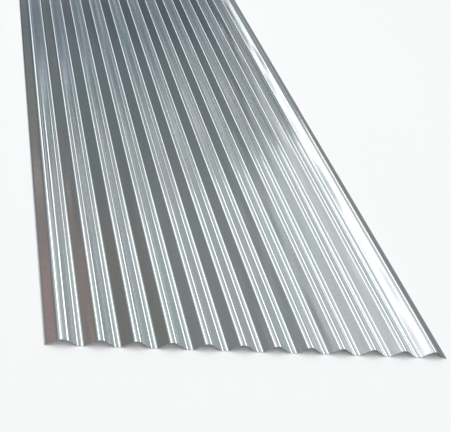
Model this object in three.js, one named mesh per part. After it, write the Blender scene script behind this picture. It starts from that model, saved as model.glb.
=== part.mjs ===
// Corrugated roofing sheet, rolled cold from one flat length of zinc coated steel.
//
// Millimetres. +Y runs along the corrugations, +X across them, and +Z up out of the crests.
// The origin is the middle of the sheet's plan, on the plane that its valleys rest on.

import * as THREE from 'three';

// Driving dimensions
const sheetLength = 2440;      // along the corrugations
const sheetThickness = 0.4;    // steel with its coating
const crestCount = 12;
const pitch = 76;              // from one crest to the next
const corrugationDepth = 18;   // from crest to valley, on one face of the sheet
const bendRadius = 16.5;       // of each crest and valley, at the middle of the thickness
const sideLap = 35;            // from the outermost crest to the side edge
const flatsPerBend = 9;        // an odd number, so that each crest and valley has a level one

// The straight flank between a crest and a valley touches both bends. The centres of the two
// bends are half a pitch apart across the sheet, and centreRise apart in height.
const halfPitch = pitch / 2;
const centreRise = 2 * bendRadius - corrugationDepth;
const centreDistance = Math.hypot(halfPitch, centreRise);
const flankAngle = Math.asin(2 * bendRadius / centreDistance) - Math.atan2(centreRise, halfPitch);

const valleyHeight = sheetThickness / 2;
const crestHeight = valleyHeight + corrugationDepth;
const outerCrest = pitch * (crestCount - 1) / 2;
const halfWidth = outerCrest + sideLap;

// One bend of the sheet's middle line, from left to right. Its flats are tangents to the true
// arc, so that crests and valleys reach their full height, and its corners lie just outside it.
function bend(x, isCrest) {
  const turnPerFlat = 2 * flankAngle / (flatsPerBend + 1);
  const reach = flankAngle - turnPerFlat / 2;
  const cornerRadius = bendRadius / Math.cos(turnPerFlat / 2);
  const centreHeight = isCrest ? crestHeight - bendRadius : valleyHeight + bendRadius;
  const middle = isCrest ? Math.PI / 2 : -Math.PI / 2;
  const start = isCrest ? middle + reach : middle - reach;
  const end = isCrest ? middle - reach : middle + reach;
  const arc = new THREE.ArcCurve(x, centreHeight, cornerRadius, start, end, isCrest);
  return arc.getPoints(flatsPerBend);
}

// The middle line across the whole sheet. It starts and ends one or more bends past the
// outermost crests, and is then cut off at the side edges.
function middleLine() {
  const bendsPastCrest = Math.ceil(sideLap / halfPitch);
  const bendsEachSide = crestCount - 1 + bendsPastCrest;
  const line = [];
  for (let step = -bendsEachSide; step <= bendsEachSide; step += 1) {
    const isCrest = (step + crestCount - 1) % 2 === 0;
    line.push(...bend(step * halfPitch, isCrest));
  }
  return trimmed(line);
}

function trimmed(line) {
  const inside = line.filter((point) => Math.abs(point.x) < halfWidth);
  return [edgePoint(line, -halfWidth), ...inside, edgePoint(line, halfWidth)];
}

function edgePoint(line, x) {
  const next = line.findIndex((point) => point.x >= x);
  const before = line[next - 1];
  const after = line[next];
  return new THREE.Vector2().lerpVectors(before, after, (x - before.x) / (after.x - before.x));
}

// A face of the sheet: the middle line moved out square to itself, with mitred corners.
function face(line, distance) {
  return line.map((point, i) => {
    const before = squareTo(line[Math.max(i - 1, 0)], line[Math.max(i, 1)]);
    const after = squareTo(line[Math.min(i, line.length - 2)], line[Math.min(i + 1, line.length - 1)]);
    const mitre = before.clone().add(after).normalize();
    return mitre.multiplyScalar(distance / mitre.dot(after)).add(point);
  });
}

function squareTo(from, to) {
  const along = new THREE.Vector2().subVectors(to, from).normalize();
  return new THREE.Vector2(-along.y, along.x);
}

// The corrugated section is carried straight along the whole length.
function sheetGeometry() {
  const line = middleLine();
  const topFace = face(line, sheetThickness / 2);
  const underside = face(line, -sheetThickness / 2);
  const section = new THREE.Shape([...underside, ...topFace.reverse()]);
  return new THREE.ExtrudeGeometry(section, { depth: sheetLength, bevelEnabled: false });
}

const zincCoatedSteel = new THREE.MeshStandardMaterial({
  name: 'zinc coated steel',
  color: 0xb4babc,
  roughness: 0.22,
  metalness: 1,
});

const sheet = new THREE.Mesh(sheetGeometry(), zincCoatedSteel);
sheet.name = 'corrugated_sheet';
sheet.rotation.x = Math.PI / 2;
sheet.position.y = sheetLength / 2;

const part = new THREE.Group();
part.add(sheet);

export default part;
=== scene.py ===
"""The looks of a corrugated roofing sheet, lying on a pale studio floor.

Metres. +Y runs along the corrugations, +X across them, and the floor is at z = 0.
"""

import math

import bpy
import numpy as np
from mathutils import Matrix, Vector


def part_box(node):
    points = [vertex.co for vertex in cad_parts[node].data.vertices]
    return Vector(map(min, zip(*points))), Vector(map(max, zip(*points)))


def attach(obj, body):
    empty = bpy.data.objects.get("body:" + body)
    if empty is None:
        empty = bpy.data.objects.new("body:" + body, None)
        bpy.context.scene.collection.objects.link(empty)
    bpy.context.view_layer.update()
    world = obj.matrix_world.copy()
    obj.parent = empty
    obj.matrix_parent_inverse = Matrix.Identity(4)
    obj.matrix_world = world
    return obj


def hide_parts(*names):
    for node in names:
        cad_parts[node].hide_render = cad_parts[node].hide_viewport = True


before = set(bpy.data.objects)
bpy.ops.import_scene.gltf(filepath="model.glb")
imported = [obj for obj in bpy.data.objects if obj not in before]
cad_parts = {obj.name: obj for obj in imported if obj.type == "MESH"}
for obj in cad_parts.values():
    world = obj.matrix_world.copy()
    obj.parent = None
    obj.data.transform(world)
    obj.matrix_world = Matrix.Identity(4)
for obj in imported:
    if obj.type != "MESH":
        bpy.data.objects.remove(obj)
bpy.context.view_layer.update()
scene = bpy.context.scene


# The corrugated sheet ----------------------------------------------------------------------
# One flat length of zinc coated steel, rolled cold between shaped rolls into even round
# corrugations. Straight flanks join the bends, and both side edges are turned down. It is
# one piece, which nothing is fixed to.

NODE = "corrugated_sheet"
PITCH = 0.076
BEND_RADIUS = 0.0165
CREST_COUNT = 12
THICKNESS = 0.0004
EDGE_CLEARANCE = 0.00005
low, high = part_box(NODE)
half_width = high.x - EDGE_CLEARANCE
half_length = high.y
depth = high.z - low.z - THICKNESS

# Half a pitch holds half a crest, a flank and half a valley. The flank is the straight line
# that touches both bend circles, so its slope follows from the pitch, depth and radius.
half_pitch = PITCH / 2
centre_rise = 2 * BEND_RADIUS - depth
centre_distance = math.hypot(half_pitch, centre_rise)
flank_angle = math.asin(2 * BEND_RADIUS / centre_distance) - math.atan2(centre_rise, half_pitch)
bend_length = BEND_RADIUS * flank_angle
flank_length = (half_pitch - 2 * BEND_RADIUS * math.sin(flank_angle)) / math.cos(flank_angle)
half_wave = 2 * bend_length + flank_length
first_crest = -PITCH * (CREST_COUNT - 1) / 2


def middle_line(along):
    """Places on the sheet's middle line, at distances along it from the first crest.

    The nearest bend is a crest if its number is even. The line turns evenly round a bend,
    up to the flank angle, and what distance is left runs straight down the flank. Returns
    x, z, and the lean of the sheet's normal towards +X, in radians.
    """
    nearest = np.round(along / half_wave)
    past = along - nearest * half_wave
    turn = np.clip(past / BEND_RADIUS, -flank_angle, flank_angle)
    straight = past - BEND_RADIUS * turn
    across = BEND_RADIUS * np.sin(turn) + straight * np.cos(turn)
    fall = BEND_RADIUS * (1 - np.cos(turn)) + straight * np.sin(turn)
    crest = nearest % 2 == 0
    x = first_crest + nearest * half_pitch + across
    z = np.where(crest, THICKNESS / 2 + depth - fall, THICKNESS / 2 + fall)
    return x, z, np.where(crest, turn, -turn)


# Columns of the grid are close together round the bends, and wider apart on the flanks.
COLUMNS_PER_HALF_BEND = 9
FLANK_COLUMNS = 5
bend_steps = np.linspace(-bend_length, bend_length, 2 * COLUMNS_PER_HALF_BEND + 1)
flank_steps = bend_length + flank_length * np.arange(1, FLANK_COLUMNS) / FLANK_COLUMNS
one_half_wave = np.concatenate([bend_steps, flank_steps])
bend_numbers = np.arange(-2, 2 * CREST_COUNT + 1)
along_sheet = (bend_numbers[:, None] * half_wave + one_half_wave).ravel()
edges = np.interp([-half_width, half_width], middle_line(along_sheet)[0], along_sheet)
inside = (along_sheet > edges[0]) & (along_sheet < edges[1])
columns = np.concatenate([edges[:1], along_sheet[inside], edges[1:]])

# Rows of the grid are closer together towards the sheared ends.
ROWS = 80
ROW_CROWDING = 1.5
share = np.linspace(-1, 1, ROWS)
rows = half_length * np.sign(share) * (1 - (1 - np.abs(share)) ** ROW_CROWDING)

flat_x, flat_y = np.meshgrid(columns, rows)
x, z, lean = middle_line(flat_x)

# The first crest was pressed flatter in handling: a wider bend, between the same flanks.
PRESSED_RADIUS = 0.023
past_first = x - first_crest
pressed = np.abs(past_first) < PRESSED_RADIUS * math.sin(flank_angle)
lowering = (PRESSED_RADIUS - BEND_RADIUS) * (1 / math.cos(flank_angle) - 1)
pressed_lean = np.arcsin(np.where(pressed, past_first, 0) / PRESSED_RADIUS)
pressed_z = THICKNESS / 2 + depth - lowering - PRESSED_RADIUS * (1 - np.cos(pressed_lean))
z = np.where(pressed, pressed_z, z)
lean = np.where(pressed, pressed_lean, lean)

# The flanks bow in and out by a tenth of a millimetre, each in its own long waves.
SEED = 7
BOW = 0.00009
BOW_WAVES = np.array([1.30, 0.61, 0.34])
chance = np.random.default_rng(SEED)


def long_waves(distance, lines):
    """Sine waves of the lengths in BOW_WAVES, added for each line, each with its own phase.

    The sum is divided by the square root of their number, so that it swings as far, on the
    whole, as one wave of height 1. Returns a row for each distance and a column for each line.
    """
    phase = chance.uniform(0, 2 * math.pi, (len(BOW_WAVES), 1, lines))
    turns = distance[None, :, None] / BOW_WAVES[:, None, None]
    return np.sin(2 * math.pi * turns + phase).mean(axis=0) * math.sqrt(len(BOW_WAVES))


flank_number = np.floor(columns / half_wave).astype(int)
flank_number -= flank_number.min()
flank_place = (np.mod(columns, half_wave) - bend_length) / flank_length
flank_place = np.clip(flank_place, 0, 1)
bow_size = BOW * long_waves(rows, flank_number.max() + 1)[:, flank_number]
bow = bow_size * np.sin(math.pi * flank_place) ** 2
bow_slope = bow_size * math.pi / flank_length * np.sin(2 * math.pi * flank_place)
x = x + bow * np.sin(lean)
z = z + bow * np.cos(lean)
lean = lean - bow_slope

# The corrugations aren't quite evenly spaced. Each row gives the place across the sheet, how
# far the corrugations there stand to the right, and how far that reaches from the front end.
# The shift dies away as a bell curve both ways, and is nothing at the side edges.
SPACING = (
    (first_crest, 0.0007, 2.5),
    (first_crest + 3.5 * PITCH, -0.0013, 2.5),
    (first_crest + 6.5 * PITCH, 0.0022, 0.45),
)
SPACING_REACH = 1.5 * PITCH
EDGE_HOLD = 8
for middle_x, shift, reach in SPACING:
    from_middle = (x - middle_x) / SPACING_REACH
    sideways = shift * np.exp(-from_middle**2 - ((flat_y + half_length) / reach) ** 2)
    stretch = 1 - 2 * from_middle * sideways / SPACING_REACH
    x = x + sideways * (1 - (x / half_width) ** EDGE_HOLD)
    lean = np.arctan(np.tan(lean) / stretch)

# The wave is shallower by a hair where the sheared ends sprang open.
END_REACH = 0.012
END_OPENING = 0.02
from_end = half_length - np.abs(flat_y)
shallower = END_OPENING * np.exp(-from_end / END_REACH)
middle_height = (low.z + high.z) / 2
z = middle_height + (z - middle_height) * (1 - shallower)

# The normal leans across the sheet as the line does, and along it as far as the line shifts.
square = np.stack([np.sin(lean), np.zeros_like(lean), np.cos(lean)], axis=-1)
shift_each_metre = np.gradient(x, rows, axis=0)
climb_each_metre = np.gradient(z, rows, axis=0)
normal = square.copy()
normal[..., 1] = -shift_each_metre * square[..., 0] - climb_each_metre * square[..., 2]
normal /= np.linalg.norm(normal, axis=-1, keepdims=True)
middle = np.stack([x, flat_y, z], axis=-1)
top_face = middle + square * THICKNESS / 2
underside = middle - square * THICKNESS / 2


def grid_faces(count_y, count_x, first=0):
    """Quads of a grid of vertices, numbered row by row, facing up where x and y grow."""
    corner = first + np.arange(count_y - 1)[:, None] * count_x + np.arange(count_x - 1)
    return np.stack([corner, corner + 1, corner + count_x + 1, corner + count_x], -1).reshape(-1, 4)


def rim_faces(top_line, under_line):
    """Quads between two lines of vertices, facing left of the way that the lines run."""
    return np.stack([top_line[:-1], top_line[1:], under_line[1:], under_line[:-1]], -1)


count_y, count_x = flat_x.shape
count = count_y * count_x
numbers = np.arange(count).reshape(count_y, count_x)
top_faces = grid_faces(count_y, count_x)
under_faces = grid_faces(count_y, count_x, count)[:, ::-1]
round_the_rim = np.concatenate([
    numbers[0, ::-1], numbers[1:, 0], numbers[-1, 1:], numbers[-2::-1, -1],
])
rim = rim_faces(round_the_rim, round_the_rim + count)
faces = np.concatenate([top_faces, under_faces, rim])
vertices = np.concatenate([top_face.reshape(-1, 3), underside.reshape(-1, 3)])

mesh = bpy.data.meshes.new("sheet")
mesh.from_pydata(vertices, [], faces)
sheet = bpy.data.objects.new("sheet", mesh)
scene.collection.objects.link(sheet)

# Each face takes the sheet's true normals, and the sheared rim is flat and meets them sharply.
corners = faces.ravel()
smooth_normals = np.concatenate([normal.reshape(-1, 3), -normal.reshape(-1, 3)])
corner_normals = smooth_normals[corners]
first_side = vertices[rim[:, 1]] - vertices[rim[:, 0]]
second_side = vertices[rim[:, 3]] - vertices[rim[:, 0]]
rim_normals = np.cross(first_side, second_side)
rim_normals /= np.linalg.norm(rim_normals, axis=1, keepdims=True)
corner_normals[-rim.size:] = np.repeat(rim_normals, rim.shape[1], axis=0)
mesh.normals_split_custom_set(corner_normals)

# Patterns follow the flat length as it was before rolling: one map in metres, with the
# underside set apart. "through" is 1 on the top face, 0 on the underside, and between on the
# sheared rim.
UNDERSIDE_SHIFT = 2.0
flat_places = np.stack([np.tile(flat_x.ravel(), 2), np.tile(flat_y.ravel(), 2)], -1)
flat_places[count:, 0] += UNDERSIDE_SHIFT
flat_map = mesh.uv_layers.new(name="flat_sheet")
flat_map.data.foreach_set("uv", flat_places[corners].ravel().astype(np.float32))
through = mesh.attributes.new("through", "FLOAT", "POINT")
through.data.foreach_set("value", np.repeat([1.0, 0.0], count).astype(np.float32))

ZINC_SLOT = 0
CUT_SLOT = 1
face_slots = np.full(len(faces), ZINC_SLOT, np.int32)
face_slots[-len(rim):] = CUT_SLOT
mesh.polygons.foreach_set("material_index", face_slots)

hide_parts(NODE)
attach(sheet, "root")


def calculated(tree, kind, first, second):
    """One calculation on two numbers or sockets, such as ADD, MULTIPLY or MINIMUM."""
    node = tree.nodes.new("ShaderNodeMath")
    node.operation = kind
    for socket, value in zip(node.inputs, (first, second)):
        if isinstance(value, (int, float)):
            socket.default_value = value
        else:
            tree.links.new(value, socket)
    return node.outputs[0]


def weighted_sum(tree, start, parts):
    """A start, which is a number or a socket, plus each part's socket times its weight.

    A part with a weight of 0 is left out.
    """
    total = start
    for socket, weight in parts:
        if weight:
            total = calculated(tree, "ADD", calculated(tree, "MULTIPLY", socket, weight), total)
    return total


def fade(tree, value, nothing, full):
    """0 where value is at nothing, 1 where it is at full, and a smooth S between the two."""
    node = tree.nodes.new("ShaderNodeMapRange")
    node.interpolation_type = "SMOOTHSTEP"
    tree.links.new(value, node.inputs["Value"])
    for name, number in (("From Min", min(nothing, full)), ("From Max", max(nothing, full)),
                         ("To Min", float(nothing > full)), ("To Max", float(nothing < full))):
        node.inputs[name].default_value = number
    return node.outputs[0]


def tone_between(tree, factor, first, second):
    """The first colour where factor is 0, the second where it is 1, and a mix between."""
    node = tree.nodes.new("ShaderNodeMix")
    node.data_type = "RGBA"
    tree.links.new(factor, node.inputs["Factor"])
    colour_sockets = [socket for socket in node.inputs if socket.type == "RGBA"]
    for socket, tone in zip(colour_sockets, (first, second)):
        if isinstance(tone, tuple):
            socket.default_value = (*tone, 1)
        else:
            tree.links.new(tone, socket)
    return next(socket for socket in node.outputs if socket.type == "RGBA")


def noise(tree, place, cells_each_metre, detail):
    """Smooth random cells, from 0 to 1, with a number of them to the metre each way."""
    stretch_node = tree.nodes.new("ShaderNodeMapping")
    stretch_node.inputs["Scale"].default_value = cells_each_metre
    tree.links.new(place, stretch_node.inputs["Vector"])
    node = tree.nodes.new("ShaderNodeTexNoise")
    node.inputs["Scale"].default_value = 1
    node.inputs["Detail"].default_value = detail
    tree.links.new(stretch_node.outputs["Vector"], node.inputs["Vector"])
    return node.outputs["Fac"]


# Bright zinc: faint crystals, fine lines and broader streaks drawn out by the rolls, dull clouds
# where it has begun to weather, and rub marks along the crests, which the next sheet in a stack
# touches. A thin film left by the last bath tints it from lilac to green in long drifts, and
# the underside is duller. Each pattern's cells are so many to the metre across the sheet, along
# it, and through it.
ROLL_LINES = (1100, 6, 1)
ROLL_STREAKS = (110, 0.9, 1)
CLOUDS = (8, 5, 1)
RUBS = (70, 3, 1)
DRIFTS = (9, 2.2, 1)
CRYSTALS_EACH_METRE = 190
CLOUD_DETAIL = 4
LINE_DETAIL = 1
RUB_STARTS, RUB_FULL = 0.60, 0.72
CREST_TOP_STARTS, CREST_TOP_FULL = 0.80, 0.96
DRIFT_STARTS, DRIFT_FULL = 0.30, 0.70
BRIGHT_LILAC = (0.845, 0.845, 0.870)
BRIGHT_GREEN = (0.815, 0.860, 0.850)
DULL_LILAC = (0.760, 0.765, 0.795)
DULL_GREEN = (0.735, 0.780, 0.775)
LEAST_DULL = -0.38
POLISHED_ROUGHNESS = 0.080
MICROMETRE = 0.000001

zinc = bpy.data.materials.new("zinc coated steel")
zinc.use_nodes = True
tree = zinc.node_tree
flat_map_reader = tree.nodes.new("ShaderNodeUVMap")
flat_map_reader.uv_map = flat_map.name
flat_place = flat_map_reader.outputs["UV"]
roll_lines = noise(tree, flat_place, ROLL_LINES, LINE_DETAIL)
roll_streaks = noise(tree, flat_place, ROLL_STREAKS, LINE_DETAIL)
clouds = noise(tree, flat_place, CLOUDS, CLOUD_DETAIL)
crystals = tree.nodes.new("ShaderNodeTexVoronoi")
crystals.inputs["Scale"].default_value = CRYSTALS_EACH_METRE
tree.links.new(flat_place, crystals.inputs["Vector"])
crystal_shade = tree.nodes.new("ShaderNodeSeparateColor")
tree.links.new(crystals.outputs["Color"], crystal_shade.inputs["Color"])
object_place = tree.nodes.new("ShaderNodeTexCoord")
height = tree.nodes.new("ShaderNodeSeparateXYZ")
tree.links.new(object_place.outputs["Object"], height.inputs["Vector"])
crest_top = fade(tree, height.outputs["Z"], high.z * CREST_TOP_STARTS, high.z * CREST_TOP_FULL)
rubs = fade(tree, noise(tree, flat_place, RUBS, LINE_DETAIL), RUB_STARTS, RUB_FULL)
rubs = calculated(tree, "MULTIPLY", rubs, crest_top)
top_side = tree.nodes.new("ShaderNodeAttribute")
top_side.attribute_name = through.name
below = calculated(tree, "SUBTRACT", 1, top_side.outputs["Fac"])

# Each row is a pattern, then how far it dulls the zinc, what it adds to the roughness, and how
# many micrometres it stands up.
finish = (
    (clouds, 0.50, 0.020, 0.0),
    (roll_lines, 0.20, 0.020, 0.9),
    (roll_streaks, 0.40, 0.0, 3.5),
    (crystal_shade.outputs["Red"], 0.60, 0.030, 0.0),
    (crystals.outputs["Distance"], 0.0, 0.0, 2.0),
    (rubs, 0.40, 0.035, 1.0),
    (below, 0.25, 0.060, 0.0),
)
patterns, dulls, roughens, micrometres = zip(*finish)
dullness = weighted_sum(tree, LEAST_DULL, zip(patterns, dulls))
roughness = weighted_sum(tree, POLISHED_ROUGHNESS, zip(patterns, roughens))
stands_up = weighted_sum(tree, 0, zip(patterns, micrometres))
drift = fade(tree, noise(tree, flat_place, DRIFTS, LINE_DETAIL), DRIFT_STARTS, DRIFT_FULL)
bright = tone_between(tree, drift, BRIGHT_LILAC, BRIGHT_GREEN)
dull = tone_between(tree, drift, DULL_LILAC, DULL_GREEN)

shader = tree.nodes["Principled BSDF"]
shader.inputs["Metallic"].default_value = 1.0
tree.links.new(tone_between(tree, dullness, bright, dull), shader.inputs["Base Color"])
tree.links.new(roughness, shader.inputs["Roughness"])
relief = tree.nodes.new("ShaderNodeBump")
relief.inputs["Distance"].default_value = MICROMETRE
tree.links.new(stands_up, relief.inputs["Height"])
tree.links.new(relief.outputs["Normal"], shader.inputs["Normal"])
mesh.materials.append(zinc)

# The sheared rim: the blade burnished the upper part of the cut and the rest tore, with fine
# marks square to the sheet, and a thin lip of zinc is drawn over the top. The levels at which
# one gives way to the next waver along the rim.
ZINC_LIP = (0.70, 0.71, 0.72)
BURNISHED_STEEL = (0.50, 0.50, 0.50)
TORN_STEEL = (0.30, 0.30, 0.31)
BLADE_MARKS = (2600, 2600, 120)
WAVERING = (90, 90, 90)
WAVER = 0.30
BURNISH_STARTS, BURNISH_FULL = 0.58, 0.72
LIP_STARTS, LIP_FULL = 0.95, 1.02
TORN_ROUGHNESS = 0.58
BURNISH_SMOOTHS = -0.22
LIP_SMOOTHS = -0.12
MARKS_ROUGHEN = 0.10
TEAR_RELIEF = 0.00002

cut_steel = bpy.data.materials.new("sheared steel edge")
cut_steel.use_nodes = True
tree = cut_steel.node_tree
rim_place = tree.nodes.new("ShaderNodeTexCoord").outputs["Object"]
blade_marks = noise(tree, rim_place, BLADE_MARKS, LINE_DETAIL)
wavering = noise(tree, rim_place, WAVERING, LINE_DETAIL)
height_in_cut = tree.nodes.new("ShaderNodeAttribute")
height_in_cut.attribute_name = through.name
cut_levels = ((height_in_cut.outputs["Fac"], 1.0), (wavering, WAVER))
cut_level = weighted_sum(tree, -WAVER / 2, cut_levels)
burnish = fade(tree, cut_level, BURNISH_STARTS, BURNISH_FULL)
lip = fade(tree, cut_level, LIP_STARTS, LIP_FULL)

shader = tree.nodes["Principled BSDF"]
shader.inputs["Metallic"].default_value = 1.0
cut_tone = tone_between(tree, burnish, TORN_STEEL, BURNISHED_STEEL)
cut_tone = tone_between(tree, lip, cut_tone, ZINC_LIP)
tree.links.new(cut_tone, shader.inputs["Base Color"])
smoothing = ((burnish, BURNISH_SMOOTHS), (lip, LIP_SMOOTHS), (blade_marks, MARKS_ROUGHEN))
roughness = weighted_sum(tree, TORN_ROUGHNESS, smoothing)
tree.links.new(roughness, shader.inputs["Roughness"])
relief = tree.nodes.new("ShaderNodeBump")
relief.inputs["Distance"].default_value = TEAR_RELIEF
tree.links.new(blade_marks, relief.inputs["Height"])
tree.links.new(relief.outputs["Normal"], shader.inputs["Normal"])
mesh.materials.append(cut_steel)


# The floor ---------------------------------------------------------------------------------
# A wide floor of matt pale paint. A dark card lies on it along the sheet's right edge, and a
# low grey board stands past it, beyond the sheet's far end. Only the metal sees these two.

FLOOR_PAINT = (0.96, 0.96, 0.96)
MATT_ROUGHNESS = 0.9
FLOOR_HALF = 80.0
CARD_GREY = (0.25, 0.25, 0.25)
CARD_GAP = 0.0005
CARD_RIGHT = 0.80
CARD_FRONT = -1.3
CARD_BACK = 1.6


def painted_face(name, outline, paint):
    """One flat face of matt paint through the corners of its outline."""
    face_mesh = bpy.data.meshes.new(name)
    face_mesh.from_pydata(outline, [], [range(len(outline))])
    face = bpy.data.objects.new(name, face_mesh)
    scene.collection.objects.link(face)
    matt = bpy.data.materials.new(name + " paint")
    matt.use_nodes = True
    matt_shader = matt.node_tree.nodes["Principled BSDF"]
    matt_shader.inputs["Base Color"].default_value = (*paint, 1)
    matt_shader.inputs["Roughness"].default_value = MATT_ROUGHNESS
    matt_shader.inputs["Specular IOR Level"].default_value = 0.0
    face_mesh.materials.append(matt)
    return face


def level(left, right, front, back, height_above):
    """The corners of a level rectangle, which faces up."""
    outline = ((left, front), (right, front), (right, back), (left, back))
    return [(*corner, height_above) for corner in outline]


def upright(place_x, front, back, bottom, top):
    """The corners of an upright rectangle along the sheet, which faces left."""
    outline = ((front, bottom), (front, top), (back, top), (back, bottom))
    return [(place_x, *corner) for corner in outline]


painted_face("floor", level(-FLOOR_HALF, FLOOR_HALF, -FLOOR_HALF, FLOOR_HALF, 0), FLOOR_PAINT)

# The card gives the last flank something darker than the floor to reflect.
card_outline = level(high.x + CARD_GAP, CARD_RIGHT, CARD_FRONT, CARD_BACK, CARD_GAP)
only_for_metal = [painted_face("card", card_outline, CARD_GREY)]

# The board hides the room's far doorway from the right half of the sheet, and the left half
# sees over it. Each part has its front end, its back end and its paint.
BOARD_X = 1.50
BOARD_TOP = 0.76
BOARD_PARTS = (
    (1.80, 2.70, (0.48, 0.52, 0.525)),
    (2.70, 3.70, (0.36, 0.40, 0.41)),
)
for number, (front, back, paint) in enumerate(BOARD_PARTS):
    board_outline = upright(BOARD_X, front, back, CARD_GAP, BOARD_TOP)
    only_for_metal.append(painted_face(f"board_{number}", board_outline, paint))
for face in only_for_metal:
    face.visible_camera = False
    face.visible_diffuse = False
    face.visible_shadow = False


# The lights --------------------------------------------------------------------------------
# A long strip under the ceiling and a low strip at the right each draw a line along every
# bend, and a broad soft light hangs overhead.


def panel_light(name, place, aim, width, length, radiance):
    """A rectangular light of one even radiance, with its long side along Y.

    Its power is radiance x width x length x pi, because a flat lamp sends light all ways on
    one side.
    """
    lamp = bpy.data.lights.new(name, "AREA")
    lamp.shape = "RECTANGLE"
    lamp.size = width
    lamp.size_y = length
    lamp.energy = radiance * width * length * math.pi
    light = bpy.data.objects.new(name, lamp)
    scene.collection.objects.link(light)
    light.location = place
    back = (Vector(place) - Vector(aim)).normalized()
    side = Vector((0, 1, 0)).cross(back).normalized()
    along = back.cross(side)
    light.rotation_euler = Matrix((side, along, back)).transposed().to_euler()
    light.visible_camera = False
    return light


# The ceiling strip gets fainter away from the camera: the start, end and radiance of each part.
CEILING_X = -0.81
CEILING_Z = 3.653
CEILING_WIDTH = 0.72
CEILING_PARTS = ((2.1, 5.3, 1.40), (5.3, 7.0, 1.35), (7.0, 8.7, 1.18), (8.7, 11.0, 0.84))
for number, (start, end, radiance) in enumerate(CEILING_PARTS):
    part_middle = (start + end) / 2
    place = (CEILING_X, part_middle, CEILING_Z)
    straight_down = (CEILING_X, part_middle, 0)
    name = f"ceiling_strip_{number}"
    panel_light(name, place, straight_down, CEILING_WIDTH, end - start, radiance)

# The side strip is aimed at the sheet's middle line, and its far part is fainter. The floor
# isn't lit by it.
SIDE_X = 1.275
SIDE_Z = 0.862
SIDE_WIDTH = 0.42
SIDE_PARTS = ((-2.6, 1.1, 1.10), (1.1, 1.65, 0.92))
for number, (start, end, radiance) in enumerate(SIDE_PARTS):
    part_middle = (start + end) / 2
    place = (SIDE_X, part_middle, SIDE_Z)
    sheet_middle = (0, part_middle, 0)
    name = f"side_strip_{number}"
    side_strip = panel_light(name, place, sheet_middle, SIDE_WIDTH, end - start, radiance)
    side_strip.visible_diffuse = False

# The soft light hangs over the sheet. It lights the floor, and the metal doesn't mirror it.
SOFT_HEIGHT = 6.0
SOFT_SIZE = 8.0
SOFT_RADIANCE = 0.65
overhead = (0, 0, SOFT_HEIGHT)
soft_light = panel_light("soft_light", overhead, (0, 0, 0), SOFT_SIZE, SOFT_SIZE, SOFT_RADIANCE)
soft_light.visible_glossy = False


# The room ----------------------------------------------------------------------------------
# Bright metal looks like what stands round it. Beyond the sheet's far end the room has walls of
# soft greys, darker with distance, with tall bright doorways on the right. From its sides round
# to behind the camera, lit panels hang between grey boards.

room = bpy.data.worlds.new("room")
scene.world = room
room.use_nodes = True
tree = room.node_tree
direction = tree.nodes.new("ShaderNodeTexCoord")
direction_parts = tree.nodes.new("ShaderNodeSeparateXYZ")
tree.links.new(direction.outputs["Generated"], direction_parts.inputs["Vector"])
rightward, ahead, rise = direction_parts.outputs

# A direction is judged by ahead, its Y part, by rise, its Z part, and by aside, how far it goes
# to the right for each metre that it rises.
LEAST_RISE = 0.02
aside = calculated(tree, "DIVIDE", rightward, calculated(tree, "MAXIMUM", rise, LEAST_RISE))


def slanted(slope, farthest_aside):
    """Ahead plus slope times aside, where aside counts only up to its farthest."""
    near_aside = calculated(tree, "MINIMUM", aside, farthest_aside)
    return weighted_sum(tree, ahead, ((near_aside, slope),))


def laid_over(wall, *patches):
    """The wall's tone with patches laid over it in turn.

    A patch is its tone and its edges. An edge is a measure, the value at which the patch is
    nothing, and the value at which it is full. The patch covers the wall by its edges' fades
    multiplied together.
    """
    for tone, *edges_of_patch in patches:
        cover = 1.0
        for measure, nothing, full in edges_of_patch:
            cover = calculated(tree, "MULTIPLY", fade(tree, measure, nothing, full), cover)
        wall = tone_between(tree, cover, wall, tone)
    return wall


# Some edges slant across the walls: how far ahead they start changes with aside, up to a
# farthest aside, and the horizon's is past any wall.
HORIZON = 100.0
right_far_line = slanted(0.05, 1.0)
pale_band_line = slanted(0.08, 0.85)
doorway_line = slanted(0.21, HORIZON)
left_far_line = slanted(0.045, HORIZON)
pale_corner_line = slanted(-0.55, HORIZON)

# The wall on the right, and what stands against it.
RIGHT_GREY = (0.45, 0.49, 0.49)
right_wall = laid_over(
    RIGHT_GREY,
    # a shaded stretch, and a dark corner in it
    ((0.25, 0.28, 0.29), (aside, 0.66, 0.84), (ahead, 0.85, 0.872)),
    ((0.08, 0.095, 0.10), (aside, 0.86, 1.0), (ahead, 0.825, 0.845)),
    # a pale screen, with a grey, a paler and a dark one before it
    ((0.69, 0.75, 0.75), (aside, 0.37, 0.27)),
    ((0.47, 0.52, 0.53), (aside, 0.37, 0.27), (ahead, 0.82, 0.85)),
    ((0.66, 0.71, 0.725), (aside, 0.22, 0.28), (aside, 0.50, 0.42),
     (ahead, 0.845, 0.862), (ahead, 0.922, 0.908)),
    ((0.06, 0.07, 0.07), (aside, 0.25, 0.17), (ahead, 0.825, 0.845), (ahead, 0.90, 0.885)),
    # the low part of the wall, and the distance
    ((0.33, 0.365, 0.37), (aside, 1.3, 1.8)),
    ((0.15, 0.185, 0.225), (right_far_line, 0.875, 0.94)),
    # the near doorway and the far one
    ((1.15, 1.15, 1.15), (aside, 1.36, 1.51), (aside, 2.60, 2.45),
     (ahead, 0.64, 0.68), (ahead, 0.81, 0.785)),
    ((2.0, 2.0, 2.0), (aside, 1.30, 1.45), (aside, 2.60, 2.45),
     (ahead, 0.785, 0.81), (ahead, 0.898, 0.878), (doorway_line, 1.163, 1.194)),
    # a pale band high in the distance
    ((0.43, 0.50, 0.54), (pale_band_line, 0.952, 0.963), (pale_band_line, 0.982, 0.969)),
)

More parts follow.
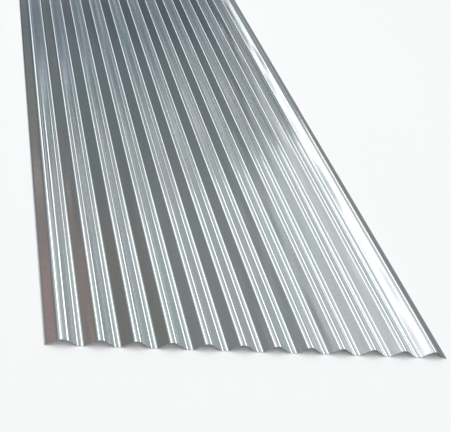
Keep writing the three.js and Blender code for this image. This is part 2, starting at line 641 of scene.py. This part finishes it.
# The wall on the left.
LEFT_GREY = (0.19, 0.19, 0.18)
left_wall = laid_over(
    LEFT_GREY,
    # a lighter stretch, and a warm corner near the front
    ((0.23, 0.25, 0.245), (aside, -1.0, -0.85)),
    ((0.34, 0.26, 0.25), (aside, -1.12, -1.3), (ahead, 0.86, 0.79)),
    # cooler, then darker, with distance
    ((0.155, 0.185, 0.20), (ahead, 0.80, 0.88)),
    ((0.08, 0.10, 0.12), (left_far_line, 0.8675, 0.8825)),
    # a warm grey stretch low on the left, with a pale post before it
    ((0.23, 0.22, 0.20), (aside, -1.20, -1.30), (ahead, 0.80, 0.84), (ahead, 0.925, 0.905)),
    ((0.39, 0.34, 0.32), (aside, -1.20, -1.30), (ahead, 0.838, 0.845), (ahead, 0.862, 0.855)),
    # a pale corner by the right wall
    ((0.56, 0.59, 0.60), (aside, -0.64, -0.57), (pale_corner_line, 1.157, 1.092)),
)

# The panels run the way that the sheet lies, so they draw lines along it from any side.
BOARD_GREY = (0.50, 0.52, 0.53)
leaning = calculated(tree, "ABSOLUTE", aside, 0)
panelled = laid_over(
    BOARD_GREY,
    # a lit panel on each side, low boards under it, and a fainter lit panel low on the right
    ((1.5, 1.5, 1.5), (leaning, 0.18, 0.25), (leaning, 0.60, 0.52)),
    ((0.30, 0.31, 0.32), (leaning, 0.9, 2.2)),
    ((0.95, 0.95, 0.95), (aside, 1.60, 1.75), (aside, 2.80, 2.65)),
)

whole_room = laid_over(
    left_wall,
    (right_wall, (aside, -0.35, 0.1)),
    # the far end, and the ceiling
    ((0.42, 0.45, 0.47), (ahead, 0.932, 0.952)),
    ((1.1, 1.1, 1.1), (rise, 0.66, 0.82)),
    (panelled, (ahead, 0.6, 0.4)),
)
tree.links.new(whole_room, tree.nodes["Background"].inputs["Color"])


# The camera --------------------------------------------------------------------------------
# It stands off the left front corner and looks down along the sheet, with a slight roll. Its
# focal length is in pixels of the rendered picture, and the sensor makes it millimetres.

IMAGE_WIDTH = 451
FOCAL_PIXELS = 913.25
SENSOR_WIDTH = 36.0
FARTHEST = 200
MATRIX_SIZE = 4
CAMERA_PLACE = (-0.6704, -2.6059, 1.2189)
RIGHT_TURN_DEGREES = 20.37
DOWNWARD_DEGREES = 30.85
ROLL_DEGREES = 15.38
turned_right = math.radians(RIGHT_TURN_DEGREES)
looks_down = math.radians(DOWNWARD_DEGREES)
rolled = math.radians(ROLL_DEGREES)
camera = bpy.data.cameras.new("camera")
camera.sensor_width = SENSOR_WIDTH
camera.lens = SENSOR_WIDTH * FOCAL_PIXELS / IMAGE_WIDTH
camera.clip_end = FARTHEST
camera_object = bpy.data.objects.new("camera", camera)
camera_object.matrix_world = (
    Matrix.Translation(CAMERA_PLACE)
    @ Matrix.Rotation(-turned_right, MATRIX_SIZE, "Z")
    @ Matrix.Rotation(math.pi / 2 - looks_down, MATRIX_SIZE, "X")
    @ Matrix.Rotation(rolled, MATRIX_SIZE, "Z")
)
scene.collection.objects.link(camera_object)
scene.camera = camera_object
scene.view_settings.view_transform = "Standard"
